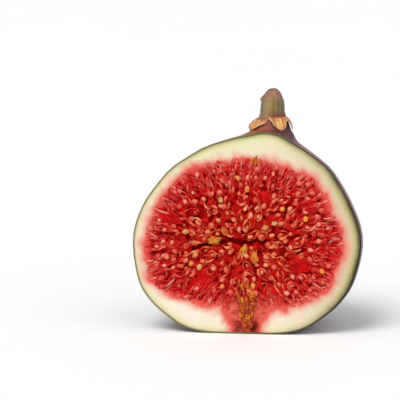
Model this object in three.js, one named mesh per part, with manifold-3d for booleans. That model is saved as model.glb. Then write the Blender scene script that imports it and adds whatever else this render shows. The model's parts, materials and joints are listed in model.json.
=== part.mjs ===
// A fresh fig, cut lengthways: the half that keeps the neck and the stem, leaning back a little on its base.
// Millimetres, +Z up, and the cut face looks towards -Y. The origin is the middle of the flat it rests on.
// The pieces are shaped in the fruit's own frame: the eye at the origin, its axis along +Z and the cut face
// on the plane y = 0. settle() then leans them back and sets them down.
import * as THREE from 'three';
import { mergeVertices } from 'three/addons/utils/BufferGeometryUtils.js';
import Module from 'manifold-3d';

// Driving dimensions.
const FRUIT_HEIGHT = 52; // from the eye to the top of the neck
const BELLY_RADIUS = 28.3;
const NECK_RADIUS = 4.1; // where the stem joins
const NECK = { x: 5.2, y: 6 }; // how far the neck stands to one side, and behind the cut
const AXIS_BEHIND_CUT = 0.6; // below the shoulder
const STEM_RADIUS = 3.05;
const STEM_HEIGHT = 7.5;
const JOINT_GAP = 0.3; // between neighbouring pieces
const LEAN_BACK = THREE.MathUtils.degToRad(8);
const FLATTENED = 0.15; // how much of the eye's end is pressed flat
const REST_BEHIND_CUT = 8.3; // the middle of the flat, behind the cut's lower edge

// Surface detail.
const RING_SEGMENTS = 72;
const PROFILE_STEPS = 34;
const STEM_SEGMENTS = 26;
const STEM_STEPS = 18;
const RIB_COUNT = 9;
const RIB_HEIGHT = 0.004; // as a share of the radius
const OUT_OF_ROUND = 0.005;

const COLOURS = { flesh: 0xb0332c, stem: 0x7f6a3c, bract: 0xb9793f };

// The fruit's outline from the eye to the neck: distance from the axis, and height above the eye.
const OUTLINE = [
  [6, 0.1],
  [11.5, 0.6],
  [15.2, 1.7],
  [18.4, 3.6],
  [23.1, 7.5],
  [26.6, 13],
  [BELLY_RADIUS, 23],
  [25.7, 31.5],
  [20.7, 39],
  [18.4, 41.2],
  [12.7, 45.1],
  [9.7, 46.6],
  [8.1, 47.4],
  [6.6, 48.2],
  [5, 48.9],
  [4.45, 49.8],
  [4.2, 50.7],
  [NECK_RADIUS, FRUIT_HEIGHT],
];

// The fruit's middle from the eye to the neck: to one side, behind the cut, and height above the eye.
const MIDDLE = [
  [-0.5, AXIS_BEHIND_CUT, 0],
  [-0.5, AXIS_BEHIND_CUT, 10],
  [0, AXIS_BEHIND_CUT, 21],
  [0.1, AXIS_BEHIND_CUT, 32],
  [0.9, 0.75, 40],
  [1.6, 2.3, 45.1],
  [2.1, 3.5, 46.6],
  [3.1, 4.3, 47.4],
  [4.4, 5.1, 48.2],
  [NECK.x, 5.7, 49],
  [NECK.x, NECK.y, 49.9],
  [NECK.x, NECK.y, FRUIT_HEIGHT],
];

const wasm = await Module();
wasm.setup();

// A closed geometry as a manifold-3d solid.
function solidOf(geometry) {
  const bare = geometry.clone();
  bare.deleteAttribute('normal');
  bare.deleteAttribute('uv');
  const merged = mergeVertices(bare, 1e-4);
  return new wasm.Manifold(
    new wasm.Mesh({
      numProp: 3,
      vertProperties: new Float32Array(merged.attributes.position.array),
      triVerts: new Uint32Array(merged.index.array),
    }),
  );
}

function geometryOf(solid) {
  const mesh = solid.getMesh();
  const geometry = new THREE.BufferGeometry();
  geometry.setAttribute('position', new THREE.BufferAttribute(mesh.vertProperties, 3));
  geometry.setIndex(new THREE.BufferAttribute(mesh.triVerts, 1));
  geometry.computeVertexNormals();
  return geometry;
}

// Takes away everything on the side of a plane that its normal points to.
function cutAway(geometry, pointOnPlane, normal) {
  const side = 4 * FRUIT_HEIGHT;
  const box = new THREE.BoxGeometry(side, side, side);
  box.translate(0, 0, side / 2);
  box.applyQuaternion(new THREE.Quaternion().setFromUnitVectors(new THREE.Vector3(0, 0, 1), normal));
  box.translate(pointOnPlane.x, pointOnPlane.y, pointOnPlane.z);
  return geometryOf(solidOf(geometry).subtract(solidOf(box)));
}

// Moves every point of a geometry by a function that changes a Vector3.
function bend(geometry, change) {
  const positions = geometry.attributes.position;
  const point = new THREE.Vector3();
  for (let i = 0; i < positions.count; i++) {
    point.fromBufferAttribute(positions, i);
    change(point);
    positions.setXYZ(i, point.x, point.y, point.z);
  }
  return geometry;
}

// From the fruit's own frame to the way it rests.
function settle(geometry) {
  return geometry.rotateX(-LEAN_BACK).translate(0, -REST_BEHIND_CUT, -FLATTENED);
}

// The fruit's middle at a height, part of the way from one point of MIDDLE to the next.
function middleAt(z) {
  const high = MIDDLE.find((point) => point[2] > z) ?? MIDDLE.at(-1);
  const low = MIDDLE[Math.max(MIDDLE.indexOf(high) - 1, 0)];
  const share = Math.min(Math.max((z - low[2]) / (high[2] - low[2]), 0), 1);
  return { x: THREE.MathUtils.lerp(low[0], high[0], share), y: THREE.MathUtils.lerp(low[1], high[1], share) };
}

// The whole fruit is turned about its axis, then made a little uneven, as a grown thing is.
function wholeFruit() {
  const curve = new THREE.SplineCurve([[0, 0], ...OUTLINE].map(([r, z]) => new THREE.Vector2(r, z)));
  const outline = [...curve.getSpacedPoints(PROFILE_STEPS), new THREE.Vector2(0, FRUIT_HEIGHT)];
  outline[0].x = 0;
  const turned = new THREE.LatheGeometry(outline, RING_SEGMENTS);
  turned.rotateX(Math.PI / 2);
  return bend(turned, (p) => {
    const angle = Math.atan2(p.y, p.x);
    const height = p.z / FRUIT_HEIGHT;
    const ribs = RIB_HEIGHT * Math.sin(Math.PI * height) * Math.cos(RIB_COUNT * angle + 2 * height);
    const oval = OUT_OF_ROUND * Math.sin(Math.PI * height) * Math.cos(2 * angle - 0.9);
    const middle = middleAt(p.z);
    p.x = p.x * (1 + ribs + oval) + middle.x;
    p.y = p.y * (1 + ribs + oval) + middle.y;
  });
}

function fruitHalf() {
  const half = cutAway(wholeFruit(), new THREE.Vector3(), new THREE.Vector3(0, -1, 0));
  return cutAway(settle(half), new THREE.Vector3(), new THREE.Vector3(0, 0, -1));
}

// A short, ribbed stalk that narrows like a fingertip, cut off on a slant facing -X and back.
function stem() {
  const profile = new THREE.SplineCurve(
    [[1.08, 0], [0.98, 0.24], [0.93, 0.45], [0.87, 0.59], [0.68, 0.78], [0.53, 0.89], [0.34, 0.97], [0, 1]].map(
      ([r, z]) => new THREE.Vector2(r * STEM_RADIUS, z * STEM_HEIGHT),
    ),
  );
  const outline = [new THREE.Vector2(0, 0), ...profile.getSpacedPoints(STEM_STEPS)];
  outline.at(-1).x = 0;
  const stalk = new THREE.LatheGeometry(outline, STEM_SEGMENTS);
  stalk.rotateX(Math.PI / 2);
  bend(stalk, (p) => {
    const along = p.z / STEM_HEIGHT;
    const ridges = 1 + 0.03 * Math.cos(5 * Math.atan2(p.y, p.x) + 1) * (1 - along);
    p.x = p.x * ridges + NECK.x + 0.3 * along;
    p.y = p.y * ridges + NECK.y;
    p.z += FRUIT_HEIGHT + JOINT_GAP;
  });
  const slant = new THREE.Vector3(-0.64, 0.35, 0.68).normalize();
  const lip = new THREE.Vector3(NECK.x - STEM_RADIUS, NECK.y, FRUIT_HEIGHT + 0.54 * STEM_HEIGHT);
  return settle(cutAway(stalk, lip, slant));
}

// A papery scale at the foot of the stem. It leaves the joint, arches outwards and hangs over the neck.
function bract({ facing, width, reach, rise, drop }) {
  const thickness = 0.45;
  const scale = new THREE.BoxGeometry(1, 1, 1, 8, 8, 1);
  const arch = new THREE.QuadraticBezierCurve(
    new THREE.Vector2(STEM_RADIUS + 0.8, FRUIT_HEIGHT + rise),
    new THREE.Vector2(STEM_RADIUS + 1.6, FRUIT_HEIGHT + rise - 0.1),
    new THREE.Vector2(reach, FRUIT_HEIGHT - drop),
  );
  bend(scale, (p) => {
    const along = p.y + 0.5;
    const taper = Math.sqrt(Math.max(1 - along ** 2.6, 0.02)) * (0.8 + 0.2 * Math.min(along * 4, 1));
    const across = 2 * p.x * taper;
    const at = arch.getPoint(along);
    const slope = arch.getTangent(along);
    const lift = p.z * thickness * (1 - 0.45 * along);
    const radius = at.x - slope.y * lift - 0.3 * across * across * along;
    const turn = facing - (across * width) / 2 / at.x;
    p.x = NECK.x + radius * Math.cos(turn);
    p.y = NECK.y + radius * Math.sin(turn);
    p.z = at.y + slope.x * lift;
  });
  return settle(scale);
}

const BRACTS = {
  bract_left: { facing: THREE.MathUtils.degToRad(222), width: 7.0, reach: 6.1, rise: 0.6, drop: 1.9 },
  bract_front: { facing: THREE.MathUtils.degToRad(303), width: 5.0, reach: 5.4, rise: 0.9, drop: 2.6 },
  bract_right: { facing: THREE.MathUtils.degToRad(8), width: 4.6, reach: 5.0, rise: 0.9, drop: 2.4 },
};

const materials = Object.fromEntries(
  Object.entries(COLOURS).map(([name, color]) => [
    name,
    new THREE.MeshStandardMaterial({ color, roughness: 0.5, metalness: 0 }),
  ]),
);

const fig = new THREE.Group();

function place(name, geometry, material) {
  const mesh = new THREE.Mesh(geometry, material);
  mesh.name = name;
  fig.add(mesh);
}

place('fruit_half', fruitHalf(), materials.flesh);
place('stem', stem(), materials.stem);
for (const [name, size] of Object.entries(BRACTS)) place(name, bract(size), materials.bract);

export default fig;
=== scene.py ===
"""A halved fresh fig: skin, rind, pulp, florets, seeds, stem and scales, built around the CAD frame.

Shapes are worked out in millimetres in the cut face's own axes, (across, up, deep): across to the right
of someone facing the cut, up along it, and deep into the fruit. place() turns them into the row frame in
metres.
"""

import json
import math

import bpy
import numpy as np
from mathutils import Matrix, Vector
from mathutils.bvhtree import BVHTree


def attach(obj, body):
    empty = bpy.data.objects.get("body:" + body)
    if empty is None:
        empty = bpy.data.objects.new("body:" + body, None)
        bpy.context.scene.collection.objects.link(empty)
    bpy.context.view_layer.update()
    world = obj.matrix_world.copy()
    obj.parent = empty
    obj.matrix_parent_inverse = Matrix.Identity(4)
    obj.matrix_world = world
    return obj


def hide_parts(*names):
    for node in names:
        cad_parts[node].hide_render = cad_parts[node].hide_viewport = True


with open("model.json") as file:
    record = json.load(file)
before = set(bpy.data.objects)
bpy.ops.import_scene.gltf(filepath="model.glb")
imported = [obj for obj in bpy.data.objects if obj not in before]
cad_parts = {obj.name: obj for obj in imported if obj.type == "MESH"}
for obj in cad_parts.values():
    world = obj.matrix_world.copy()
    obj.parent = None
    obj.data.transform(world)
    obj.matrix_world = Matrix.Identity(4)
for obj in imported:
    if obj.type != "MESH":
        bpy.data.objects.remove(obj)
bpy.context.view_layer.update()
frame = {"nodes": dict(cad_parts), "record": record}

# The camera and the stage.
VIEW_TURN = 14.06  # degrees to the right of square on to the cut
VIEW_RISE = 2.07  # degrees above square on to the cut
VIEW_DISTANCE = 0.60
FRAME_WIDTH = 0.0969  # how much of the scene the picture takes in at the fruit, in metres
EYE_IN_VIEW = (0.0110, -0.0326)  # where the fruit's eye lies, right of and above the picture's centre

# The fruit, in millimetres.
FACE_CENTRE_HEIGHT = 25.0  # the cut face mount stands this far above the eye
FRUIT_HEIGHT = 52.0
SKIN_THICKNESS = 0.34
SHELL_GAP = 0.02
FIELD_CENTRE = np.array((0.0, -1.0))  # the middle of the cut, which rays are cast from

# How thick the rind is, by the clock: (degrees anticlockwise from the right, millimetres).
RIND = [
    (0, 4.5), (40, 4.4), (53, 5.5), (67, 6.6), (80, 6.2), (91, 5.2), (107, 4.7), (124, 3.3), (150, 3.0),
    (180, 3.2), (206, 2.7), (216, 4.2), (230, 6.2), (250, 6.5), (270, 7.2), (304, 6.0), (328, 4.1),
    (360, 4.5),
]


def srgb(red, green, blue):
    """A colour given as 0 to 255 screen values, as the linear colour that shaders take."""
    channels = [c / 255 for c in (red, green, blue)]
    return tuple(c / 12.92 if c <= 0.04045 else ((c + 0.055) / 1.055) ** 2.4 for c in channels) + (1.0,)


# ---- numbers and noise


def smoothstep(x, low, high):
    t = np.clip((x - low) / (high - low), 0, 1)
    return t * t * (3 - 2 * t)


def lattice(i, j, seed):
    """A repeatable number from -1 to 1 for each whole-numbered point."""
    h = (i * 374761393 + j * 668265263 + seed * 974634777) & 0x7FFFFFFF
    h = ((h ^ (h >> 13)) * 1274126177) & 0x7FFFFFFF
    return ((h ^ (h >> 16)) & 0xFFFF) / 32767.5 - 1


def noise(x, y, seed):
    """Smooth noise from -1 to 1 with features about one unit across."""
    x, y = np.broadcast_arrays(np.asarray(x, float), np.asarray(y, float))
    i, j = np.floor(x).astype(np.int64), np.floor(y).astype(np.int64)
    fx, fy = x - i, y - j
    sx, sy = fx * fx * (3 - 2 * fx), fy * fy * (3 - 2 * fy)
    low = lattice(i, j, seed) * (1 - sx) + lattice(i + 1, j, seed) * sx
    high = lattice(i, j + 1, seed) * (1 - sx) + lattice(i + 1, j + 1, seed) * sx
    return low * (1 - sy) + high * sy


def layered_noise(x, y, seed):
    """Noise with two finer layers on top."""
    return sum(noise(x * 2**k, y * 2**k, seed + k) / 2**k for k in range(3)) / 1.5


def blur(grid, times, axis, edges):
    """Evens out a grid of numbers along one axis, repeatedly, by its nearest neighbours."""
    pad = [(1, 1) if a == axis else (0, 0) for a in range(grid.ndim)]
    for _ in range(times):
        wide = np.moveaxis(np.pad(grid, pad, mode=edges), axis, 0)
        grid = np.moveaxis(0.25 * wide[:-2] + 0.5 * wide[1:-1] + 0.25 * wide[2:], 0, axis)
    return grid


# ---- the cut face's axes

CUT = next(m for m in frame["record"]["mounts"] if m["name"] == "cut_face")
FACE_POINT = np.array(CUT["pos_m"], float)
DEEP = -np.array(CUT["axis"], float) / np.linalg.norm(CUT["axis"])
ACROSS = np.array((1.0, 0.0, 0.0))
UP = np.cross(ACROSS, DEEP)


def place(points):
    """(across, up, deep) in millimetres to the row frame in metres."""
    points = np.asarray(points, float)
    offsets = points[..., 0:1] * ACROSS + points[..., 1:2] * UP + points[..., 2:3] * DEEP
    return FACE_POINT + offsets / 1000


def face_coordinates(points):
    """The row frame in metres to (across, up, deep) in millimetres."""
    offsets = (np.asarray(points, float) - FACE_POINT) * 1000
    return np.stack([offsets @ ACROSS, offsets @ UP, offsets @ DEEP], -1)


def fruit_surface():
    """The CAD's fruit, for rays to meet."""
    mesh = frame["nodes"]["fruit_half"].data
    points = face_coordinates([v.co for v in mesh.vertices])
    return BVHTree.FromPolygons(points.tolist(), [tuple(p.vertices) for p in mesh.polygons])


# ---- meshes


def ring_faces(rings, around, start=0):
    """Quads between rings of points, each ring holding the same number of points."""
    i = np.arange(rings - 1)[:, None] * around
    j = np.arange(around)
    a, b = i + j, i + (j + 1) % around
    return (np.stack([a, b, b + around, a + around], -1).reshape(-1, 4) + start).tolist()


def fan_faces(ring_start, around, tip, turned=False):
    """Triangles that close a ring of points with one more point."""
    j = np.arange(around)
    a, b = ring_start + j, ring_start + (j + 1) % around
    order = (b, a) if turned else (a, b)
    return np.stack([*order, np.full(around, tip)], -1).tolist()


def closed_faces(rings, around):
    """Faces of a closed shape: rings of points, then the two points that end it."""
    faces = ring_faces(rings, around)
    faces += fan_faces(0, around, rings * around, turned=True)
    return faces + fan_faces((rings - 1) * around, around, rings * around + 1)


def repeated(faces, each, count):
    """The same faces for one shape after another, each with its own points."""
    return [[v + n * each for v in face] for n in range(count) for face in faces]


def add_object(name, data):
    made = bpy.data.objects.new(name, data)
    bpy.context.scene.collection.objects.link(made)
    return made


def add_piece(name, points, faces, material, replaces, attributes):
    """A mesh object from points in the cut face's axes, riding on the fruit."""
    mesh = bpy.data.meshes.new(name)
    mesh.from_pydata(place(points).tolist(), [], faces)
    for key, values in attributes.items():
        layer = mesh.attributes.new(key, "FLOAT", "POINT")
        layer.data.foreach_set("value", np.asarray(values, np.float32))
    mesh.validate()
    mesh.shade_smooth()
    mesh.materials.append(material)
    piece = add_object(name, mesh)
    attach(piece, "root")
    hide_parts(*replaces)


def add_fruit_piece(name, points, faces, material, attributes):
    """A piece that stands for some of the fruit itself."""
    add_piece(name, points, faces, material, ["fruit_half"], attributes)


def tubes(paths, radii, sides, flatness=1.0):
    """Closed tubes. paths is (tubes, steps, 3), radii (tubes, steps); flatness squeezes them in depth."""
    count, steps, _ = paths.shape
    along = np.gradient(paths, axis=1)
    along /= np.linalg.norm(along, axis=2, keepdims=True) + 1e-9
    aside = np.cross(along, (0.0, 0.0, 1.0))
    aside /= np.linalg.norm(aside, axis=2, keepdims=True) + 1e-9
    out = np.cross(aside, along)
    turn = np.arange(sides) * 2 * np.pi / sides
    ring = aside[:, :, None] * np.cos(turn)[:, None] + out[:, :, None] * np.sin(turn)[:, None] * flatness
    body = paths[:, :, None] + ring * radii[:, :, None, None]
    each = steps * sides + 2
    points = np.concatenate([body.reshape(count, -1, 3), paths[:, :1], paths[:, -1:]], axis=1)
    return points.reshape(-1, 3), repeated(closed_faces(steps, sides), each, count), each


def tube_values(values, sides):
    """One value for each of the tubes' points, from one for each step."""
    rings = np.repeat(values, sides, axis=1)
    return np.concatenate([rings, values[:, :1], values[:, -1:]], axis=1).reshape(-1)


def kernels(centres, headings, sizes, tilts):
    """Closed egg shapes. headings turn them in the cut's plane, sizes are (length, width, thickness)."""
    rings, around = 6, 10
    slope = np.linspace(0, np.pi, rings + 2)[1:-1]
    turn = np.arange(around) * 2 * np.pi / around
    x = np.cos(slope)[:, None] * np.ones(around)
    girth = np.sin(slope) * (1 - 0.22 * np.cos(slope))
    y, z = girth[:, None] * np.cos(turn), girth[:, None] * np.sin(turn)
    unit = np.concatenate([np.stack([x, y, z], -1).reshape(-1, 3), [(1, 0, 0), (-1, 0, 0)]])
    shaped = unit[None] * np.asarray(sizes)[:, None] / 2
    ct, st = np.cos(tilts)[:, None], np.sin(tilts)[:, None]
    x, z = shaped[..., 0] * ct - shaped[..., 2] * st, shaped[..., 0] * st + shaped[..., 2] * ct
    ch, sh = np.cos(headings)[:, None], np.sin(headings)[:, None]
    turned = np.stack([x * ch - shaped[..., 1] * sh, x * sh + shaped[..., 1] * ch, z], -1)
    points = turned + np.asarray(centres)[:, None]
    faces = repeated(closed_faces(rings, around), len(unit), len(points))
    return points.reshape(-1, 3), faces, len(unit)


# ---- the fruit's outside

TURNS = 480  # samples round the cut's edge
ARCS = 120  # samples from the cut's edge to the back, closer together near the edge
TURN = np.arange(TURNS) * 2 * np.pi / TURNS
ARC = np.pi / 2 * np.linspace(0, 1, ARCS + 1)[:-1] ** 1.25


def outside_distance():
    """How far the fruit's surface lies from the middle of the cut, by arc and turn, in millimetres."""
    surface = fruit_surface()
    start = Vector((FIELD_CENTRE[0], FIELD_CENTRE[1], 0.03))
    distance = np.zeros((ARCS, TURNS))
    for i, a in enumerate(ARC):
        for j, t in enumerate(TURN):
            ray = Vector((math.cos(a) * math.cos(t), math.cos(a) * math.sin(t), math.sin(a)))
            distance[i, j] = surface.ray_cast(start, ray)[3]
    smooth = blur(distance, 4, 1, "wrap")
    share = smoothstep(ARC, 0.0, 0.12)[:, None]
    smooth = smooth * (1 - share) + blur(smooth, 4, 0, "edge") * share
    return smooth, surface.ray_cast(start, (0, 0, 1))[3]


OUTSIDE, BACK = outside_distance()


def rays(distance, arc=ARC, turn=TURN):
    """Points at the given distances along rays from the middle of the cut."""
    flat, deep = np.cos(arc)[:, None], np.sin(arc)[:, None]
    across = FIELD_CENTRE[0] + distance * flat * np.cos(turn)
    up = FIELD_CENTRE[1] + distance * flat * np.sin(turn)
    return np.stack([across, up, distance * deep + 0 * turn], -1)


def by_turn(turn, values):
    """One value for each of TURN, read off at any turn."""
    return np.interp(turn % (2 * np.pi), np.append(TURN, 2 * np.pi), np.append(values, values[0]))


def rim_distance(turn):
    """From the middle of the cut to the skin's outer edge."""
    return by_turn(turn, OUTSIDE[0])


NECK = np.array((5.2, 6.0))  # across and deep, where the fruit's bent middle ends
# How much of that bend there is, by height above the eye.
NECK_BEND = [
    (0, 0), (32, 0), (40, 0.15), (45.1, 0.35), (46.6, 0.5), (47.4, 0.65), (48.2, 0.85), (49.5, 1), (60, 1),
]


def fruit_coordinates(points):
    """Height above the eye as a share of the fruit's, and the direction round its own bent middle."""
    above_eye = points[..., 1] + FACE_CENTRE_HEIGHT
    bend = np.interp(above_eye, *zip(*NECK_BEND))
    across = points[..., 0] - NECK[0] * bend
    deep = points[..., 2] - NECK[1] * bend
    reach = np.hypot(across, deep) + 1e-6
    return above_eye / FRUIT_HEIGHT, across / reach, deep / reach


# ---- the cut's layout


def rind_thickness(turn):
    return np.interp(np.degrees(turn) % 360, *zip(*RIND))


def polar(across, up):
    """Distance and direction from the middle of the cut."""
    x, y = across - FIELD_CENTRE[0], up - FIELD_CENTRE[1]
    return np.hypot(x, y), np.arctan2(y, x)


def spokes(across, up, count, change, seed):
    """Noise in spokes round the middle. count sets how fine they are, change how fast they alter."""
    reach, turn = polar(across, up)
    return noise(np.cos(turn) * count + reach * change, np.sin(turn) * count - reach * change * 0.6, seed)


FUNNEL_MIDDLE = 0.1  # how far to the right of the eye it stands
FUNNEL_TOP = 9  # how high above the eye it opens into the pulp
FUNNEL_DEPTH = 1.6  # how far inside the pulp's edge its middle counts as


def funnel_half_width(above_eye):
    return 3.6 + 0.2 * np.maximum(above_eye, 0) + 0.045 * np.maximum(above_eye, 0) ** 2


def pulp_depth(across, up):
    """Millimetres inside the pulp's edge; negative in the rind. The eye's funnel counts as pulp."""
    reach, turn = polar(across, up)
    wobble = 0.32 * spokes(across, up, 5, 0.1, 11) + 0.2 * spokes(across, up, 16, 0.2, 12)
    pulp = rim_distance(turn) - reach - rind_thickness(turn) + wobble
    above_eye = up + FACE_CENTRE_HEIGHT
    half_width = funnel_half_width(above_eye) + 0.3 * noise(above_eye * 0.7, across * 0.2, 13)
    funnel = np.where(above_eye < FUNNEL_TOP, half_width - np.abs(across - FUNNEL_MIDDLE), -FUNNEL_TOP)
    return np.maximum(pulp, np.minimum(funnel, FUNNEL_DEPTH))


def in_funnel(across, up):
    """1 in the eye's funnel, fading out where it opens into the pulp."""
    above_eye = up + FACE_CENTRE_HEIGHT
    width = funnel_half_width(above_eye) + 0.5 * noise(across * 0.5, up * 1.1, 28)
    aside = smoothstep(np.abs(across - FUNNEL_MIDDLE), width, width + 1)
    return (1 - smoothstep(above_eye, 6.0, 10.5)) * (1 - aside)


# The dark split at the heart of the pulp: (across, up) along it, from left to right.
SPLIT = [(-13.2, -4.2), (-10.4, -3.2), (-8.2, -2.9), (-5.4, -2.6), (-4.2, -1.9), (-1.6, -2.9),
         (1.0, -2.5), (2.6, -2.0), (4.2, -2.4)]
SPLIT_DEPTH = 1.3
SPLIT_WIDTH = 0.75


def distance_to_split(across, up):
    best = np.full(np.shape(across), 1e9)
    for (x0, y0), (x1, y1) in zip(SPLIT[:-1], SPLIT[1:]):
        length2 = (x1 - x0) ** 2 + (y1 - y0) ** 2
        t = np.clip(((across - x0) * (x1 - x0) + (up - y0) * (y1 - y0)) / length2, 0, 1)
        best = np.minimum(best, np.hypot(across - x0 - t * (x1 - x0), up - y0 - t * (y1 - y0)))
    return best


# Smooth, glassy stretches of deep red with few florets: (across, up, half width, half height).
GLASSY = [(-19.3, 3.0, 2.6, 1.7), (-10.3, -12.3, 2.4, 3.3), (15.6, 6.4, 3.2, 1.7),
          (12.9, -8.6, 2.4, 2.2), (4.6, 8.4, 1.9, 1.6), (-1.9, 5.2, 1.3, 2.2), (7.6, -14.2, 2.6, 1.5)]


def glassy(across, up):
    """1 in the middle of a glassy stretch, 0 away from it."""
    best = np.zeros(np.shape(across))
    for x, y, rx, ry in GLASSY:
        best = np.maximum(best, 1 - smoothstep(np.hypot((across - x) / rx, (up - y) / ry), 0.5, 1.2))
    return best


def bed_height(across, up):
    """Millimetres that the cut surface stands out of the knife's plane; the pulp is sunk and rough."""
    pulp = pulp_depth(across, up)
    inside = smoothstep(pulp, -0.2, 2.2)
    reach = polar(across, up)[0]
    lumps = 0.3 * layered_noise(across * 0.62, up * 0.62, 21) + 0.2 * noise(across * 1.9, up * 1.9, 22)
    grooves = 0.2 * spokes(across, up, 40, 0.2, 23) * smoothstep(reach, 6, 12)
    pits = -0.7 * smoothstep(noise(across * 0.9, up * 0.9, 24), 0.1, 0.75)
    split = -SPLIT_DEPTH * (1 - smoothstep(distance_to_split(across, up), 0.1, SPLIT_WIDTH))
    rough = -0.55 + lumps + grooves + pits + split
    smooth_red = -0.22 + 0.14 * noise(across * 0.9, up * 0.9, 25)
    shine = glassy(across, up)
    rind = -0.03 + 0.03 * noise(across * 0.5, up * 0.5, 26)
    return rind * (1 - inside) + inside * (rough * (1 - shine) + smooth_red * shine)


HEART = np.array((-0.5, -2.5))  # the florets point at it


def nearness_to_edge(across, up):
    """0 round the heart of the pulp, 1 at its edge."""
    blotches = 0.22 * layered_noise(across * 0.17, up * 0.17, 27)
    return np.clip(1.08 - pulp_depth(across, up) / 12.5 + blotches, 0, 1)


# ---- materials


class Shader:
    """A Principled material and short ways to add nodes to it."""

    def __init__(self, name, **plain):
        self.material = bpy.data.materials.new(name)
        self.material.use_nodes = True
        self.tree = self.material.node_tree
        self.surface = self.tree.nodes["Principled BSDF"]
        for socket, value in plain.items():
            self.surface.inputs[socket.replace("_", " ")].default_value = value

    def node(self, kind, inputs=None, **settings):
        made = self.tree.nodes.new(kind)
        for key, value in settings.items():
            setattr(made, key, value)
        for key, value in (inputs or {}).items():
            if isinstance(value, bpy.types.NodeSocket):
                self.tree.links.new(value, made.inputs[key])
            else:
                made.inputs[key].default_value = value
        return made

    def value(self, name):
        return self.node("ShaderNodeAttribute", attribute_name=name).outputs["Fac"]

    def place(self):
        return self.node("ShaderNodeTexCoord").outputs["Object"]

    def around(self, turns, along):
        """A place made of the direction round a fruit or stem and the way up it, with no seam."""
        side, back = self.scaled("side", turns), self.scaled("back", turns)
        return self.combined(side, back, self.scaled("height", along))

    def combined(self, x, y, z):
        return self.node("ShaderNodeCombineXYZ", {0: x, 1: y, 2: z}).outputs[0]

    def scaled(self, name, factor):
        return self.product(self.value(name), factor)

    def product(self, a, b):
        return self.node("ShaderNodeMath", {0: a, 1: b}, operation="MULTIPLY").outputs[0]

    def plus(self, a, b):
        return self.node("ShaderNodeMath", {0: a, 1: b}, operation="ADD").outputs[0]

    def span(self, value, low, high, to_low=0.0, to_high=1.0):
        inputs = {"Value": value, "From Min": low, "From Max": high, "To Min": to_low, "To Max": to_high}
        return self.node("ShaderNodeMapRange", inputs, interpolation_type="SMOOTHSTEP").outputs[0]

    def noise(self, scale, detail, where=None):
        inputs = {"Vector": where or self.place(), "Scale": scale, "Detail": detail, "Roughness": 0.58}
        return self.node("ShaderNodeTexNoise", inputs).outputs["Fac"]

    def cells(self, scale):
        inputs = {"Vector": self.place(), "Scale": scale}
        return self.node("ShaderNodeTexVoronoi", inputs).outputs["Distance"]

    def ramp(self, value, stops):
        """Each stop is (position, red, green, blue)."""
        made = self.node("ShaderNodeValToRGB", {"Fac": value})
        elements = made.color_ramp.elements
        while len(elements) < len(stops):
            elements.new(1.0)
        for element, (position, *colour) in zip(elements, stops):
            element.position = position
            element.color = srgb(*colour)
        return made.outputs["Color"]

    def mix(self, share, a, b):
        return self.node("ShaderNodeMix", {0: share, 6: a, 7: b}, data_type="RGBA").outputs[2]

    def pulp(self, tone):
        """Dark to light pulp: brick red round the heart, crimson to pink at the edge."""
        heart = self.ramp(tone, [(0.0, 140, 0, 0), (0.25, 180, 2, 0), (0.5, 204, 30, 10),
                                 (0.75, 220, 84, 42), (1.0, 240, 146, 94)])
        rim = self.ramp(tone, [(0.0, 156, 0, 0), (0.25, 196, 0, 2), (0.5, 216, 22, 24),
                               (0.75, 236, 80, 72), (1.0, 250, 152, 132)])
        return self.mix(self.value("edge"), heart, rim)

    def colour(self, socket):
        self.tree.links.new(socket, self.surface.inputs["Base Color"])

    def roughness(self, socket):
        self.tree.links.new(socket, self.surface.inputs["Roughness"])

    def bump(self, *layers):
        """Each layer is (height, millimetres that it stands up)."""
        normal = None
        for height, distance in layers:
            inputs = {"Height": height, "Distance": distance / 1000, "Strength": 1.0}
            if normal:
                inputs["Normal"] = normal
            normal = self.node("ShaderNodeBump", inputs).outputs["Normal"]
        self.tree.links.new(normal, self.surface.inputs["Normal"])


JUICY = (1.0, 0.2, 0.1)  # how far red, green and blue light travel in the pulp, against each other


def flesh_material():
    """Green to cream rind that blushes towards the red pulp, which is painted darker where its bed sinks,
    as shade.
    """
    s = Shader("fig_flesh", Roughness=0.42, Specular_IOR_Level=0.08, Subsurface_Weight=0.4,
               Subsurface_Scale=0.0012, Subsurface_Radius=JUICY)
    broad, fine = s.noise(170, 3), s.noise(1000, 4)
    rind = rind_colour(s, broad)
    edge = s.plus(s.value("pulp"), s.product(s.plus(s.value("fibres"), -0.5), 1.1))
    edge = s.plus(edge, s.span(broad, 0.35, 0.65, -0.3, 0.3))
    blush = s.mix(s.span(edge, -2.4, 0.0), rind, srgb(232, 156, 136))
    blush = s.mix(s.span(edge, -0.8, 0.6), blush, srgb(222, 92, 80))
    # The deeper the bed is sunk, the darker the tone: painted shade in the pits, grooves and the split at
    # the heart.
    tone = s.plus(s.span(s.value("height"), -1.3, 0.0, 0.0, 0.4), s.span(fine, 0.3, 0.7, -0.14, 0.2))
    tone = s.plus(tone, s.span(s.value("pulp"), 0.5, 3.0, 0.22, 0.0))
    wet = s.mix(s.span(s.noise(420, 2), 0.4, 0.6), srgb(168, 0, 0), srgb(212, 14, 12))
    red = s.mix(s.scaled("glassy", 0.85), s.pulp(tone), wet)
    eye = s.ramp(s.value("lobe"), [(0.0, 224, 104, 84), (0.5, 190, 66, 46), (1.0, 110, 24, 16)])
    red = s.mix(s.value("eye"), red, eye)
    s.colour(s.mix(s.span(edge, 0.1, 2.3), blush, red))
    s.bump((fine, 0.05))
    return s.material


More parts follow.
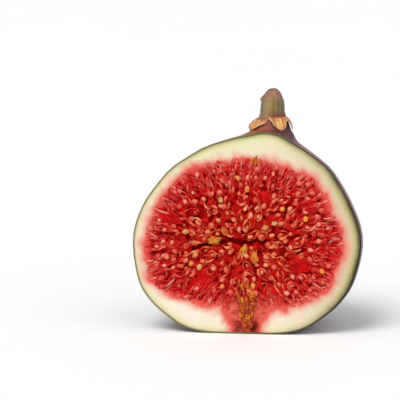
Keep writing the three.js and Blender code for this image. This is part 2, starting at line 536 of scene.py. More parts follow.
def rind_colour(s, blotches):
    """By the distance from the skin: pale, lime under the neck, and shaded on the right."""
    in_rind = s.scaled("rim", 0.2)
    pale = s.ramp(in_rind, [(0.0, 196, 184, 148), (0.07, 226, 212, 172), (0.17, 235, 221, 188),
                            (0.3, 240, 230, 206), (0.6, 243, 232, 214)])
    lime = s.ramp(in_rind, [(0.0, 140, 134, 88), (0.07, 192, 188, 132), (0.17, 220, 216, 164),
                            (0.3, 228, 228, 184), (0.6, 236, 226, 196)])
    shade = s.ramp(in_rind, [(0.0, 92, 84, 50), (0.07, 112, 104, 66), (0.17, 174, 163, 112),
                             (0.3, 204, 191, 142), (0.45, 214, 202, 168), (0.8, 222, 196, 174)])
    rind = s.mix(s.value("shade"), s.mix(s.value("green"), pale, lime), shade)
    return s.mix(s.span(blotches, 0.42, 0.7, 0.0, 0.2), rind, srgb(236, 214, 180))


def skin_material():
    """Purple skin with paler streaks down from the neck, pale specks and a dark, bloomed base."""
    s = Shader("fig_skin", Roughness=0.45, Specular_IOR_Level=0.32, Subsurface_Weight=0.05,
               Subsurface_Scale=0.0006, Coat_Weight=0.05, Coat_Roughness=0.3)
    height = s.value("height")
    streaks = s.noise(1.0, 5, s.around(5.5, 2.0))
    hairs = s.noise(1.0, 3, s.around(40, 3.0))
    patches, mottle, specks = s.noise(60, 4), s.noise(420, 4), s.cells(620)
    top = s.ramp(streaks, [(0.3, 90, 44, 52), (0.41, 126, 80, 90), (0.5, 166, 124, 132),
                           (0.58, 164, 124, 112), (0.7, 142, 108, 72)])
    low = s.ramp(streaks, [(0.3, 52, 24, 34), (0.5, 76, 38, 52), (0.7, 104, 64, 76)])
    colour = s.mix(s.span(s.plus(height, s.product(patches, 0.3)), 0.35, 0.85), low, top)
    colour = s.mix(s.span(mottle, 0.45, 0.75, 0.0, 0.3), colour, srgb(180, 144, 146))
    colour = s.mix(s.span(hairs, 0.6, 0.8, 0.0, 0.3), colour, srgb(190, 160, 142))
    near_neck = s.span(s.plus(height, s.product(patches, 0.06)), 0.9, 0.97, 0.0, 0.9)
    near_neck = s.product(near_neck, s.span(s.value("back"), 0.0, 0.8, 1.0, 0.4))
    colour = s.mix(near_neck, colour, neck_colour(s, hairs))
    colour = s.mix(s.span(specks, 0.06, 0.16, 0.4, 0.0), colour, srgb(204, 178, 148))
    edge = s.mix(s.value("dark"), srgb(150, 140, 84), srgb(44, 38, 20))
    s.colour(s.mix(s.span(s.value("rim"), 0.05, 0.8, 0.95, 0.0), colour, edge))
    s.roughness(s.span(mottle, 0.3, 0.7, 0.38, 0.52))
    s.bump((hairs, 0.10), (mottle, 0.06), (specks, 0.05))
    return s.material


def neck_colour(s, hairs):
    """Brown on the left to plum on the right, painted darkest at the far right edge as shade."""
    # The darkest stop, at the far right edge, is painted shade; brown to plum is the neck's own colour.
    neck = s.ramp(s.span(s.value("side"), -1.0, 1.0), [(0.1, 162, 90, 44), (0.4, 150, 66, 48),
                                                       (0.65, 120, 42, 44), (0.95, 74, 26, 40)])
    return s.mix(s.span(hairs, 0.5, 0.75, 0.0, 0.35), neck, srgb(172, 98, 78))


def seed_material():
    """Achenes from rosy pink through tan to gold, by each one's tone."""
    s = Shader("fig_seed", Roughness=0.3, Specular_IOR_Level=0.3, Subsurface_Weight=0.15,
               Subsurface_Scale=0.0005, Coat_Weight=0.15, Coat_Roughness=0.1)
    grain = s.noise(1600, 3)
    tan = s.ramp(s.value("tone"), [(0.0, 180, 38, 22), (0.3, 218, 88, 54), (0.55, 236, 128, 84),
                                   (0.75, 246, 166, 120), (0.88, 234, 146, 52), (1.0, 196, 180, 110)])
    pink = s.ramp(s.value("tone"), [(0.0, 190, 30, 28), (0.3, 224, 70, 62), (0.55, 240, 106, 92),
                                    (0.8, 250, 156, 134)])
    colour = s.mix(s.value("edge"), tan, pink)
    s.colour(s.mix(s.span(grain, 0.35, 0.6, 0.5, 0.0), colour, srgb(176, 48, 28)))
    s.bump((grain, 0.03))
    return s.material


def juicy_material(name, roughness, detail):
    """The florets' sacs, stalks and leaflets: the pulp's reds by tone, mottled."""
    s = Shader(name, Roughness=roughness, Specular_IOR_Level=0.16, Subsurface_Weight=0.4,
               Subsurface_Scale=0.0008, Subsurface_Radius=JUICY)
    grain = s.noise(detail, 3)
    s.colour(s.pulp(s.plus(s.value("tone"), s.span(grain, 0.3, 0.7, -0.12, 0.12))))
    s.bump((grain, 0.05))
    return s.material


def dry_material():
    """Withered florets and the scales of the eye: rust to orange to straw, by tone."""
    s = Shader("fig_dry_floret", Roughness=0.45, Specular_IOR_Level=0.15, Subsurface_Weight=0.1,
               Subsurface_Scale=0.0005)
    grain = s.noise(800, 4)
    colour = s.ramp(s.value("tone"), [(0.0, 124, 28, 16), (0.25, 176, 62, 24), (0.5, 208, 98, 34),
                                      (0.72, 230, 148, 46), (0.88, 220, 170, 72), (1.0, 200, 178, 100)])
    s.colour(s.mix(s.span(grain, 0.36, 0.58, 0.5, 0.0), colour, srgb(160, 48, 20)))
    s.bump((grain, 0.08))
    return s.material


def stem_material():
    """Ridged olive stalk, painted lighter down its left side and darker on its right as light and shade,
    with a mauve-brown, weathered end and a foot that reddens to the right.
    """
    s = Shader("fig_stem", Roughness=0.55, Subsurface_Weight=0.04, Subsurface_Scale=0.0005)
    height, side = s.value("height"), s.value("side")
    ridges = s.noise(1.0, 4, s.around(2.2, 1.2))
    lines = s.noise(1.0, 3, s.around(7.0, 1.6))
    grain = s.noise(900, 4)
    # Across the stalk the ramp runs lighter on the left and darker on the right: painted light and shade
    # over the stalk's own olive and yellow bands.
    flank = s.plus(s.span(side, -1.0, 1.0), s.span(ridges, 0.3, 0.7, -0.12, 0.12))
    olive = s.ramp(flank, [(0.05, 140, 132, 98), (0.22, 170, 146, 104), (0.4, 162, 132, 74),
                           (0.55, 168, 146, 62), (0.68, 134, 106, 42), (0.84, 142, 124, 62),
                           (0.97, 112, 104, 66)])
    olive = s.mix(s.span(lines, 0.42, 0.58, 0.55, 0.0), olive, srgb(104, 80, 32))
    tip = s.ramp(grain, [(0.3, 128, 76, 62), (0.7, 168, 124, 98)])
    colour = s.mix(s.span(s.plus(height, s.product(grain, 0.3)), 0.66, 0.98), olive, tip)
    foot = s.span(s.plus(height, s.product(ridges, 0.3)), 0.28, 0.5, 0.9, 0.0)
    foot = s.product(foot, s.span(side, -0.4, 0.3, 0.25, 1.0))
    colour = s.mix(foot, colour, srgb(112, 48, 32))
    colour = s.mix(s.value("cut"), colour, srgb(120, 96, 70))
    s.colour(s.mix(s.value("lip"), colour, srgb(66, 60, 50)))
    s.bump((lines, 0.25), (grain, 0.06))
    return s.material


def bract_material():
    """Dry, papery scales: orange-tan, paler at the side edges as a painted highlight where they curl, brown
    at the foot and dark at the tip.
    """
    s = Shader("fig_bract", Roughness=0.6, Subsurface_Weight=0.1, Subsurface_Scale=0.0004)
    along = s.value("along")
    sheet = s.combined(s.scaled("sideways", 5.0), s.scaled("along", 1.6), s.value("height"))
    veins = s.noise(1.0, 4, sheet)
    grain = s.noise(1100, 4)
    gold = s.ramp(veins, [(0.3, 150, 76, 26), (0.44, 202, 132, 56), (0.56, 230, 170, 92),
                          (0.7, 244, 204, 148)])
    mauve = s.ramp(veins, [(0.3, 140, 84, 64), (0.5, 194, 134, 108), (0.7, 226, 180, 152)])
    colour = s.mix(s.value("mauve"), gold, mauve)
    foot = s.span(s.plus(along, s.product(veins, 0.3)), 0.25, 0.6, 0.9, 0.0)
    colour = s.mix(foot, colour, srgb(142, 58, 26))
    # Pale cream along both side edges: a painted highlight on the curled edges.
    colour = s.mix(s.value("painted_edge_highlight"), colour, srgb(222, 180, 128))
    colour = s.mix(s.span(along, 0.9, 1.0, 0.0, 0.85), colour, srgb(70, 50, 36))
    s.colour(s.mix(s.span(grain, 0.3, 0.5, 0.4, 0.0), colour, srgb(112, 54, 32)))
    s.bump((veins, 0.12), (grain, 0.06))
    return s.material


def floor_material():
    s = Shader("pale_floor", Roughness=0.8)
    s.colour(s.ramp(s.noise(6, 2), [(0.3, 254, 254, 254), (0.7, 255, 255, 255)]))
    return s.material


# ---- skin and flesh


def make_skin():
    """A thin closed shell over the outside. Its rim shows on the cut as a dark line."""
    height, side, back = fruit_coordinates(rays(OUTSIDE))
    swell = 0.05 * noise(side * 7, back * 7 + height * 2, 31)
    swell += 0.04 * noise(side * 24, back * 24 + height * 4, 32)
    swell *= smoothstep(height, 0.06, 0.2) * smoothstep(ARC, 0.0, 0.12)[:, None]
    coarse = ARC[::2]
    outer = rays(OUTSIDE + swell).reshape(-1, 3)
    inner = rays(OUTSIDE[::2] - skin_thickness(coarse), coarse).reshape(-1, 3)
    tips = [(*FIELD_CENTRE, BACK), (*FIELD_CENTRE, BACK - SKIN_THICKNESS)]
    points = np.concatenate([outer, inner, tips])
    start, tip = len(outer), len(points) - 2
    faces = ring_faces(ARCS, TURNS)
    faces += fan_faces(start - TURNS, TURNS, tip)
    faces += [f[::-1] for f in ring_faces(len(coarse), TURNS, start)]
    faces += fan_faces(tip - TURNS, TURNS, tip + 1, turned=True)
    edge = np.arange(TURNS)
    after = (edge + 1) % TURNS
    faces += np.stack([start + edge, start + after, after, edge], -1).tolist()
    height, side, back = fruit_coordinates(points)
    steps = np.linalg.norm(np.diff(rays(OUTSIDE), axis=0), axis=-1)
    from_cut = np.concatenate([np.zeros((1, TURNS)), np.cumsum(steps, 0)]).reshape(-1)
    attributes = {
        "height": height,
        "side": side,
        "back": back,
        "rim": np.concatenate([from_cut, np.zeros(len(inner)), [40, 0]]),
        "dark": 0.55 + 0.5 * np.cos(polar(*points.T[:2])[1] + math.radians(5)),
    }
    add_fruit_piece("fig_skin", points, faces, skin_material(), attributes)


def skin_thickness(arc):
    """Thinnest where it shows, at the cut, so that the shells never touch behind it."""
    return SKIN_THICKNESS * (1 + 0.8 * smoothstep(arc, 0.02, 0.12))[:, None]


FLESH_TURNS = 560
FLESH_RINGS = 120


def make_flesh():
    """The rind and the bed of the pulp: the whole body inside the skin, closed behind."""
    turn = np.arange(FLESH_TURNS) * 2 * np.pi / FLESH_TURNS
    inset = SKIN_THICKNESS + SHELL_GAP
    share = np.linspace(0, 1, FLESH_RINGS + 1)[1:]
    reach = share[:, None] * (rim_distance(turn) - inset)
    across = FIELD_CENTRE[0] + reach * np.cos(turn)
    up = FIELD_CENTRE[1] + reach * np.sin(turn)
    front = np.stack([across, up, -bed_height(across, up)], -1)
    arc = ARC[3::3]
    back_distance = np.stack([by_turn(turn, d) for d in OUTSIDE[3::3]])
    behind_skin = skin_thickness(arc) + SHELL_GAP + 0.4 * smoothstep(arc, 0.02, 0.12)[:, None]
    rings = np.concatenate([front, rays(back_distance - behind_skin, arc, turn)])
    middle = (*FIELD_CENTRE, -float(bed_height(*FIELD_CENTRE)))
    points = np.concatenate([rings.reshape(-1, 3), [middle, (*FIELD_CENTRE, BACK - 3 * SKIN_THICKNESS)]])
    faces = closed_faces(len(rings), FLESH_TURNS)
    across, up = points[:, 0], points[:, 1]
    reach, turn = polar(across, up)
    above_eye = up + FACE_CENTRE_HEIGHT
    from_lobe = np.hypot((np.abs(across + 0.1) - 2.4) / 1.6, (above_eye - 1.4) / 2.6)
    lobes = 1 - smoothstep(from_lobe, 0.4, 1.2)
    attributes = {
        "rim": rim_distance(turn) - reach - SKIN_THICKNESS,
        "pulp": pulp_depth(across, up),
        "glassy": glassy(across, up),
        "height": -points[:, 2],
        "fibres": 0.5 + 0.5 * spokes(across, up, 10, 0.4, 41) + 0.35 * spokes(across, up, 26, 0.5, 43),
        "green": greenness(across, up),
        "shade": shadiness(across, up),
        "edge": nearness_to_edge(across, up),
        "eye": in_funnel(across, up),
        "lobe": np.clip(lobes + 0.2 * noise(across * 1.5, up * 1.5, 44), 0, 1),
    }
    add_fruit_piece("fig_flesh", points, faces, flesh_material(), attributes)


def greenness(across, up):
    """The rind is greenest under the neck."""
    under_neck = np.maximum(np.cos(polar(across, up)[1] - math.radians(92)), 0) ** 3
    return np.clip(under_neck + 0.15 * spokes(across, up, 3, 0.0, 42), 0, 1)


def shadiness(across, up):
    """The rind is darker towards the skin on the right."""
    to_right = np.cos(polar(across, up)[1] - math.radians(4))
    return smoothstep(to_right + 0.1 * spokes(across, up, 4, 0.0, 45), 0.15, 0.95)


# ---- florets and seeds

RNG = np.random.default_rng(7)
FLORET_SPACING = 1.85
FLORET_MARGIN = 1.9  # from the pulp's edge to the first of them
HOOK_SPACING = 1.55
FRINGE_STRANDS = 560
EYE_SCALES = 110
SPLIT_CLEARANCE = 1.0
STANDOUT_CLEARANCE = 1.5  # round the withered florets and the seeds that stand out
FLORET_GLASS = 0.35  # how glassy a stretch may be where a floret stands
STRAND_GLASS = 0.5  # and where a strand starts
FRINGE_GAP = 0.3  # radians to each side of the eye's funnel without a fringe
HIGHEST_STRAND = 0.22  # above the knife's plane
DEEPEST_WITHERED = 0.15  # below it


def scatter(spacing, tries, allowed):
    """Places on the cut that are allowed and at least a spacing apart."""
    span = np.array((25.0, 21.0))
    chosen = np.empty((0, 2))
    for spot in RNG.uniform(-1, 1, (tries, 2)) * span + (0.0, -1.5):
        if len(chosen) and np.min(np.hypot(*(chosen - spot).T)) < spacing:
            continue
        if allowed(spot):
            chosen = np.vstack([chosen, spot])
    return chosen


def outward(spots):
    offset = spots - HEART
    return np.arctan2(offset[:, 1], offset[:, 0])


# Withered florets, which stand out: (across, up, length, width, heading in degrees, tone).
WITHERED = [(-7.6, -2.3, 3.7, 1.8, 4, 0.62), (-5.4, 0.1, 2.4, 1.4, 135, 0.56),
            (-0.5, -4.5, 3.4, 2.0, 82, 0.74), (2.2, -6.1, 3.9, 1.8, 96, 0.66),
            (2.4, 17.2, 2.8, 2.0, 75, 0.52)]
# Seeds that stand out: (across, up, length, tone).
BRIGHT_SEEDS = [(7.2, 2.0, 1.5, 0.97), (5.0, 1.0, 1.5, 0.93), (9.2, 5.6, 1.7, 0.86),
                (0.4, 10.3, 1.7, 0.84), (-1.9, 13.0, 1.5, 0.86), (-12.0, 13.8, 1.4, 0.8),
                (14.8, 3.2, 1.5, 0.88), (18.9, -9.4, 1.5, 0.88), (-13.6, -8.0, 1.5, 0.88),
                (-11.5, -8.8, 1.6, 0.95), (-15.0, -0.2, 1.8, 0.96), (-6.2, 7.6, 1.6, 0.94),
                (1.9, -13.2, 1.5, 0.86), (-5.8, -13.5, 1.3, 0.86)]


def is_floret_place(spot):
    pulp = float(pulp_depth(*spot))
    above_eye = spot[1] + FACE_CENTRE_HEIGHT
    if pulp < FLORET_MARGIN or float(glassy(*spot)) > FLORET_GLASS or above_eye < FUNNEL_TOP + 1:
        return False
    if float(distance_to_split(*spot)) < SPLIT_CLEARANCE:
        return False
    for x, y, *_ in WITHERED + BRIGHT_SEEDS:
        if math.hypot(spot[0] - x, spot[1] - y) < STANDOUT_CLEARANCE:
            return False
    return RNG.random() < 0.5 + 0.5 * smoothstep(pulp, FLORET_MARGIN, 5.0)


def make_seeds(spots):
    """Most florets near the heart show a seed, and about two thirds of those near the rind do."""
    spots = spots[RNG.random(len(spots)) < 0.92 - 0.28 * nearness_to_edge(*spots.T)]
    bright = np.array(BRIGHT_SEEDS)
    places = np.concatenate([spots, bright[:, :2]])
    count = len(places)
    headings = outward(places) + RNG.normal(0, 0.45, count)
    length = np.concatenate([RNG.triangular(0.9, 1.35, 1.75, len(spots)), bright[:, 2]])
    proportions = [np.ones(count), RNG.uniform(0.66, 0.86, count), RNG.uniform(0.6, 0.75, count)]
    sizes = length[:, None] * np.stack(proportions, -1)
    deep = -bed_height(*places.T) * 0.7 - RNG.uniform(-0.2, 0.25, count)
    deep[len(spots):] = 0.0
    tones = np.concatenate([0.06 + RNG.beta(2.6, 1.9, len(spots)) * 0.78, bright[:, 3]])
    centres = np.column_stack([places, deep])
    points, faces, each = kernels(centres, headings, sizes, RNG.normal(0, 0.3, count))
    pinkness = 0.75 * nearness_to_edge(*places.T) * (tones < 0.82)
    attributes = {"tone": np.repeat(tones, each), "edge": np.repeat(pinkness, each)}
    add_fruit_piece("fig_seeds", points, faces, seed_material(), attributes)


def make_sacs(spots):
    """A wet, red, drop-shaped sac behind each seed, drawn out towards the rind."""
    t = np.linspace(0, 1, 9)
    heading = outward(spots) + RNG.normal(0, 0.3, len(spots))
    length = RNG.uniform(2.0, 3.2, len(spots))
    curl = RNG.normal(0, 0.5, len(spots))[:, None] * t**2
    across, up = run_from(spots, heading, length[:, None] * (t - 0.28), curl)
    deep = -bed_height(across, up) * 0.9 + 0.35 + 0.3 * t
    shape = np.maximum(np.sin(np.pi * np.clip(t * 1.25 + 0.04, 0, 1)) ** 0.8, 0.22 * (1 - 0.5 * t))
    radii = shape[None] * RNG.uniform(0.5, 0.8, len(spots))[:, None]
    points, faces, each = tubes(np.stack([across, up, deep], -1), radii, sides=9, flatness=0.8)
    tones = np.repeat(RNG.uniform(0.1, 0.46, len(spots)), each)
    attributes = {"tone": tones, "edge": nearness_to_edge(*points.T[:2])}
    add_fruit_piece("fig_sacs", points, faces, juicy_material("fig_sac", 0.16, 1100), attributes)


def run_from(starts, heading, along, aside):
    """Points that lie along a heading from each start, and aside from it."""
    across = starts[:, :1] + np.cos(heading)[:, None] * along - np.sin(heading)[:, None] * aside
    up = starts[:, 1:] + np.sin(heading)[:, None] * along + np.cos(heading)[:, None] * aside
    return across, up


STEPS = 10  # points along every strand


def loops(spots):
    """Thin leaflets hug each floret like a pair of brackets, and meet at its stalk."""
    heading = outward(spots) + RNG.normal(0, 0.35, len(spots))
    length = RNG.uniform(1.9, 3.2, len(spots))
    width = RNG.uniform(0.6, 0.95, len(spots))
    t = np.linspace(0, 1, STEPS)[None]
    paths, radii, tones = [], [], []
    for side in (-1, 1):
        keep = RNG.random(len(spots)) < 0.62
        count = keep.sum()
        phase = RNG.uniform(0, 2 * np.pi, count)[:, None]
        ripple = np.sin(phase + 2 * np.pi * t)
        bow = side * width[keep, None] * np.sin(np.pi * t**0.75) ** 0.7
        across, up = run_from(spots[keep], heading[keep], length[keep, None] * (t * 1.25 - 0.38), bow)
        lift = RNG.uniform(-0.1, 0.3, count)[:, None]
        rise = bed_height(across, up) * 0.7 + lift
        paths.append(np.stack([across, up, -np.minimum(rise, HIGHEST_STRAND)], -1))
        ends = np.sin(np.pi * np.linspace(0.15, 0.9, STEPS)) ** 0.5
        radii.append(RNG.uniform(0.17, 0.31, count)[:, None] * ends * (1 + 0.35 * ripple))
        # A leaflet that stands higher off the bed is painted lighter and a sunk one darker: painted light
        # and shade.
        tone = 0.5 + 0.7 * lift + 0.17 * ripple + RNG.normal(0, 0.1, count)[:, None]
        tones.append(np.clip(tone, 0.1, 1.0))
    return [np.concatenate(parts) for parts in (paths, radii, tones)]


def runners(starts, heading, length, wave, thickness, tone):
    """Wavy strands that run from each start along its heading, just above the bed."""
    count = len(starts)
    t = np.linspace(0, 1, STEPS)[None]
    phase = RNG.uniform(0, 2 * np.pi, count)[:, None]
    cycles = RNG.uniform(0.4, 1.2, count)[:, None]
    aside = wave[:, None] * (np.sin(phase + 2 * np.pi * cycles * t) - np.sin(phase))
    across, up = run_from(starts, heading, length[:, None] * t, aside)
    rise = bed_height(across, up) * 0.8 + RNG.uniform(-0.1, 0.25, count)[:, None] * np.sin(np.pi * t)
    paths = np.stack([across, up, -np.minimum(rise, HIGHEST_STRAND)], -1)
    radii = thickness[:, None] * np.sin(np.pi * np.linspace(0.12, 0.93, STEPS)) ** 0.6
    return paths, radii, np.clip(tone[:, None] + 0 * t, 0, 1)


def fringe():
    """Strands that line the pulp's edge, where they leave the rind."""
    turn = np.sort(RNG.uniform(0, 2 * np.pi, FRINGE_STRANDS))
    turn = turn[np.abs(turn - 1.5 * np.pi) > FRINGE_GAP]
    reach = rim_distance(turn) - rind_thickness(turn) - RNG.uniform(-0.3, 4.0, len(turn))
    starts = FIELD_CENTRE + reach[:, None] * np.stack([np.cos(turn), np.sin(turn)], -1)
    starts = starts[glassy(*starts.T) < STRAND_GLASS]
    count = len(starts)
    paleness = 0.58 + 0.28 * (1 - smoothstep(pulp_depth(*starts.T), 0.0, 1.8))
    headings = outward(starts) + np.pi + RNG.normal(0, 0.25, count)
    lengths, waves = RNG.uniform(1.4, 4.2, count), RNG.uniform(0.05, 0.3, count)
    radii = RNG.uniform(0.13, 0.29, count)
    return runners(starts, headings, lengths, waves, radii, paleness + RNG.normal(0, 0.14, count))


def is_hook_place(spot):
    clear_of_split = float(distance_to_split(*spot)) > SPLIT_CLEARANCE
    return clear_of_split and float(pulp_depth(*spot)) > 1.6 and float(glassy(*spot)) < STRAND_GLASS


def hooks():
    """Short curled bits between the florets, all over the pulp."""
    starts = scatter(HOOK_SPACING, 5000, is_hook_place)
    count = len(starts)
    headings = outward(starts) + RNG.normal(0, 0.8, count)
    lengths, waves = RNG.uniform(0.9, 2.0, count), RNG.uniform(0.15, 0.5, count)
    radii = RNG.uniform(0.14, 0.25, count)
    return runners(starts, headings, lengths, waves, radii, RNG.normal(0.48, 0.18, count))


def make_strands(spots):
    paths, radii, tones = [np.concatenate(parts) for parts in zip(loops(spots), fringe(), hooks())]
    tones = tones + 0.09 - 0.15 * nearness_to_edge(paths[..., 0], paths[..., 1])
    sides = 5
    points, faces, _ = tubes(paths, radii, sides)
    attributes = {"tone": tube_values(tones, sides), "edge": nearness_to_edge(*points.T[:2])}
    material = juicy_material("fig_strand", 0.3, 1500)
    add_fruit_piece("fig_strands", points, faces, material, attributes)


def withered_leaflets():
    """Each dried floret is a bundle of crumpled leaflets. A row is what runners() takes for one of them."""
    rows = []
    for x, y, length, width, heading, tone in WITHERED:
        turn = np.radians(heading)
        for offset in np.linspace(-0.5, 0.5, 11):
            begin = -0.5 * length * (1 - 0.9 * abs(offset)) + RNG.normal(0, 0.12)
            sideways = offset * width + RNG.normal(0, 0.08)
            rows.append((
                x + np.cos(turn) * begin - np.sin(turn) * sideways,
                y + np.sin(turn) * begin + np.cos(turn) * sideways,
                turn - offset * 0.5 + RNG.normal(0, 0.12),
                length * RNG.uniform(0.75, 1.0) * (1 - 0.8 * abs(offset)),
                RNG.uniform(0.03, 0.14),
                RNG.uniform(0.14, 0.28),
                tone + RNG.normal(0, 0.12),
            ))
    return rows


def eye_scales():
    """Rows for the fibres and scales that fill the eye's funnel, redder towards the eye."""
    rows = []
    for _ in range(EYE_SCALES):
        above_eye = 0.4 + 11.5 * RNG.random() ** 0.9
        across = FUNNEL_MIDDLE + (1.0 + 0.22 * above_eye - 0.009 * above_eye**2) * RNG.uniform(-1, 1)
        rows.append((
            across,
            above_eye - FACE_CENTRE_HEIGHT,
            np.pi / 2 + RNG.normal(0, 0.5) - across * 0.1,
            RNG.uniform(0.8, 1.8),
            RNG.uniform(0.03, 0.2),
            RNG.uniform(0.16, 0.4),
            RNG.uniform(0.05, 0.5) + 0.3 * smoothstep(above_eye, 2.0, 5.0) * RNG.random(),
        ))
    return rows


def make_withered():
    rows = np.array(withered_leaflets() + eye_scales())
    paths, radii, tones = runners(rows[:, :2], *rows[:, 2:].T)
    paths[..., 2] = np.minimum(paths[..., 2], DEEPEST_WITHERED)
    sides = 6
    points, faces, _ = tubes(paths, radii, sides, flatness=0.8)
    attributes = {"tone": tube_values(tones, sides)}
    add_fruit_piece("fig_withered_florets", points, faces, dry_material(), attributes)


# ---- stem and bracts

STEM_FOOT = FRUIT_HEIGHT + 0.02
STEM_HEIGHT = 7.78
STEM_RADIUS = 3.05
STEM_PROFILE = [(0, 1.26), (0.03, 1.25), (0.07, 1.13), (0.13, 1.06), (0.24, 0.96), (0.46, 0.93),
                (0.6, 0.87), (0.78, 0.69), (0.89, 0.53), (0.97, 0.32), (1, 0.0)]
SLANT_FOOT = 4.1  # how high up the stem the slanted end begins
SLANT = np.array((-0.64, 0.68, 0.35)) / np.linalg.norm((-0.64, 0.68, 0.35))  # across, up, deep
SLANT_POINT = np.array((NECK[0] - STEM_RADIUS, STEM_FOOT + SLANT_FOOT - FACE_CENTRE_HEIGHT, NECK[1]))
CREASE = math.radians(254)  # a groove up the front of the stem
STEM_RINGS = 90
STEM_AROUND = 96


def make_stem():
    """A ribbed stalk that grows out of the neck and narrows to an end cut off on a slant."""
    along = np.linspace(0, 1, STEM_RINGS)[:, None]
    turn = np.arange(STEM_AROUND) * 2 * np.pi / STEM_AROUND
    radius = blur(STEM_RADIUS * np.interp(along, *zip(*STEM_PROFILE)), 2, 0, "edge")
    ridges = 0.035 * np.cos(7 * turn + 1 + 1.2 * along)
    ridges += 0.05 * noise(np.cos(turn) * 2.5 + along, np.sin(turn) * 2.5, 51)
    ridges -= 0.06 * np.exp(-(((turn - CREASE) / 0.09) ** 2)) * smoothstep(along, 0.65, 0.4)
    radius = radius * (1 + ridges * smoothstep(along, 0.05, 0.3) * (1 - 0.5 * along))
    across = NECK[0] + 0.2 + 0.1 * along + radius * np.cos(turn)
    deep = NECK[1] + radius * np.sin(turn)
    up = STEM_FOOT + STEM_HEIGHT * along - FACE_CENTRE_HEIGHT + 0 * turn
    points = np.stack([across, up, deep], -1)
    beyond = (points - SLANT_POINT) @ SLANT
    beyond -= 0.42 * np.sin(np.pi * np.clip((points[..., 0] - SLANT_POINT[0]) / 3.6, 0, 1))
    cut = smoothstep(beyond, -0.05, 0.25)
    points = points - np.maximum(beyond, 0)[..., None] * SLANT
    lip = np.exp(-((beyond / 0.36) ** 2)) * (along > 0.3)
    outwards = np.stack([np.cos(turn), 0 * turn, np.sin(turn)], -1)
    low_side = np.maximum(-np.cos(turn), 0) ** 3 * (1 - smoothstep(along, 0.62, 0.8))
    points = points + (lip * (0.06 + 0.7 * low_side))[..., None] * outwards
    foot = (NECK[0], STEM_FOOT - FACE_CENTRE_HEIGHT, NECK[1])
    everything = np.concatenate([points.reshape(-1, 3), [foot]])
    count = STEM_RINGS * STEM_AROUND
    faces = [f[::-1] for f in ring_faces(STEM_RINGS, STEM_AROUND)]
    faces += fan_faces(0, STEM_AROUND, count)
    rings = {"height": along, "side": np.cos(turn), "back": np.sin(turn), "cut": cut, "lip": lip}
    attributes = {key: np.append(np.broadcast_to(value, cut.shape), 0) for key, value in rings.items()}
    add_piece("fig_stem", everything, faces, stem_material(), ["stem"], attributes)


# Angles in degrees (90 faces away from the cut) and lengths in millimetres. One edge of a scale may droop,
# its tip may lean to one side, and its edges curl.
BRACTS = {
    "bract_left": dict(facing=222, width=6.8, reach=5.7, rise=0.35, drop=1.9,
                       droop=0.9, lean=0.6, curl=0.4, mauve=0.8),
    "bract_front": dict(facing=301, width=4.9, reach=5.3, rise=0.75, drop=2.7,
                        droop=0.0, lean=-0.5, curl=0.4, mauve=0.1),
    "bract_right": dict(facing=8, width=4.8, reach=5.05, rise=0.7, drop=2.3,
                        droop=0.0, lean=-0.2, curl=0.1, mauve=0.3),
}
BRACT_THICKNESS = 0.32
BRACT_GRID = (48, 40)


def bezier(t, a, b, c):
    return (1 - t) ** 2 * a + 2 * t * (1 - t) * b + t**2 * c


def make_bract(name, facing, width, reach, rise, drop, droop, lean, curl, mauve):
    """A papery scale with ragged, curled edges that arches out from the joint and hangs over the neck."""
    columns, rows = BRACT_GRID
    sideways = np.linspace(-1, 1, columns)[None]
    along = np.linspace(0, 1, rows)[:, None]
    seed = 60 + facing
    radius = bezier(along, STEM_RADIUS + 0.45, STEM_RADIUS + 1.55, reach)
    up = bezier(along, rise, rise - 0.1, -drop)
    up = up - droop * np.maximum(-sideways, 0) * smoothstep(along, 0, 0.5)
    taper = np.sqrt(np.maximum(1 - along**2.4, 0.015)) * (0.82 + 0.18 * np.minimum(along * 4, 1))
    ragged = 1 + 0.07 * noise(along * 9, np.sign(sideways) * 3, seed)
    ragged += 0.04 * noise(along * 24, sideways * 0.5, seed + 1)
    spread = sideways * taper * ragged
    curled = curl * np.abs(sideways) ** 3 * smoothstep(along, 0.1, 0.6) * (1 - along**4)
    veins = 0.06 * noise(spread * 6, along * 1.5, seed + 2)
    veins += 0.1 * noise(spread * 2, along * 2.5, seed + 3)
    radius = radius + curled + veins - 0.25 * spread**2 * along
    turn = np.radians(facing) - (spread * width / 2 + lean * along**2 * width / 3) / radius
    up = up + 0.12 * np.abs(sideways) ** 3 + veins * 0.5 + FRUIT_HEIGHT - FACE_CENTRE_HEIGHT
    front = np.stack([NECK[0] + radius * np.cos(turn), up, NECK[1] + radius * np.sin(turn)], -1)
    du, dv = np.gradient(front, axis=1), np.gradient(front, axis=0)
    normal = np.cross(du, dv)
    normal /= np.linalg.norm(normal, axis=-1, keepdims=True) + 1e-12
    if normal[rows // 2, columns // 2, 1] < 0:
        normal = -normal
    thickness = BRACT_THICKNESS * (1 - 0.55 * along) * (1 - 0.5 * np.abs(sideways) ** 4)
    back = front - normal * thickness[..., None]
    points = np.concatenate([front.reshape(-1, 3), back.reshape(-1, 3)])
    faces = sheet_faces(rows, columns)
    # Where the painted highlight lies: along both side edges of the scale.
    painted_edge_highlight = 0.7 * smoothstep(np.abs(sideways), 0.82, 1.0)
    mauve = np.clip(1.3 * mauve - mauve * along**0.7 + 0.4 * sideways, 0, 1)
    both_sides = {"along": along, "sideways": spread, "painted_edge_highlight": painted_edge_highlight, "mauve": mauve}
    attributes = {key: np.tile(np.broadcast_to(value, spread.shape).reshape(-1), 2)
                  for key, value in both_sides.items()}
    attributes["height"] = np.full(len(points), seed * 0.37)
    add_piece(f"fig_{name}", points, faces, BRACT_MATERIAL, [name], attributes)


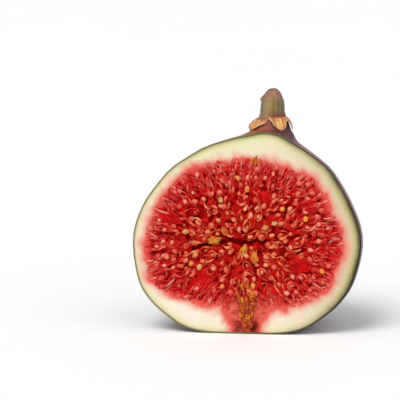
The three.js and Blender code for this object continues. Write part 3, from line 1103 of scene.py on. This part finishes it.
def sheet_faces(rows, columns):
    """Faces of a closed sheet: a front grid, a back grid after it, and the edge between them."""
    i, j = np.meshgrid(np.arange(rows - 1), np.arange(columns - 1), indexing="ij")
    a = i * columns + j
    front = np.stack([a, a + 1, a + columns + 1, a + columns], -1).reshape(-1, 4)
    back = front[:, ::-1] + rows * columns
    bottom = np.arange(columns)
    right = np.arange(1, rows) * columns + columns - 1
    top = (rows - 1) * columns + np.arange(columns - 2, -1, -1)
    left = np.arange(rows - 2, 0, -1) * columns
    rim = np.concatenate([bottom, right, top, left])
    after = np.roll(rim, -1)
    wall = np.stack([after, rim, rim + rows * columns, after + rows * columns], -1)
    return np.concatenate([front, back, wall]).tolist()


# ---- stage


def view_axes():
    """Towards the camera, right and up in its picture, which is held level with the cut."""
    turn, rise = math.radians(VIEW_TURN), math.radians(VIEW_RISE)
    across, up, deep = Vector(ACROSS), Vector(UP), Vector(DEEP)
    level = across * math.sin(turn) - deep * math.cos(turn)
    towards = level * math.cos(rise) + up * math.sin(rise)
    right = across * math.cos(turn) + deep * math.sin(turn)
    return towards, right, towards.cross(right)


def add_camera():
    towards, right, up = view_axes()
    eye = Vector(place((0.0, -FACE_CENTRE_HEIGHT, 0.0)))
    aim = eye - right * EYE_IN_VIEW[0] - up * EYE_IN_VIEW[1]
    data = bpy.data.cameras.new("camera")
    data.lens = data.sensor_width * VIEW_DISTANCE / FRAME_WIDTH
    data.clip_start = 0.01
    camera = add_object("camera", data)
    camera.rotation_euler = Matrix((right, up, towards)).transposed().to_euler()
    camera.location = aim + towards * VIEW_DISTANCE
    bpy.context.scene.camera = camera


def add_sun(name, azimuth, elevation, softness, strength):
    """Angles in degrees. Azimuth 0 shines on the cut squarely, and larger ones come from further right."""
    azimuth, elevation = math.radians(azimuth), math.radians(elevation)
    towards = Vector((math.sin(azimuth) * math.cos(elevation), -math.cos(azimuth) * math.cos(elevation),
                      math.sin(elevation)))
    data = bpy.data.lights.new(name, "SUN")
    data.angle, data.energy = math.radians(softness), strength
    light = add_object(name, data)
    light.rotation_euler = towards.to_track_quat("Z", "Y").to_euler()


def add_stage():
    mesh = bpy.data.meshes.new("floor")
    side = 12.0
    corners = [(-side, -side, 0), (side, -side, 0), (side, side, 0), (-side, side, 0)]
    mesh.from_pydata(corners, [], [(0, 1, 2, 3)])
    mesh.materials.append(floor_material())
    floor = add_object("floor", mesh)
    world = bpy.data.worlds.new("studio")
    world.use_nodes = True
    background = world.node_tree.nodes["Background"].inputs
    background["Color"].default_value = (1.0, 1.0, 1.0, 1.0)
    background["Strength"].default_value = 0.48
    bpy.context.scene.world = world
    bpy.context.scene.view_settings.view_transform = "Standard"
    add_sun("key", -24, 60, 35, 1.7)
    add_sun("fill", 60, 35, 60, 0.5)


add_camera()
add_stage()
make_skin()
make_flesh()
SPOTS = scatter(FLORET_SPACING, 7000, is_floret_place)
make_seeds(SPOTS)
make_sacs(SPOTS)
make_strands(SPOTS)
make_withered()
make_stem()
BRACT_MATERIAL = bract_material()
for bract_name, bract_shape in BRACTS.items():
    make_bract(bract_name, **bract_shape)
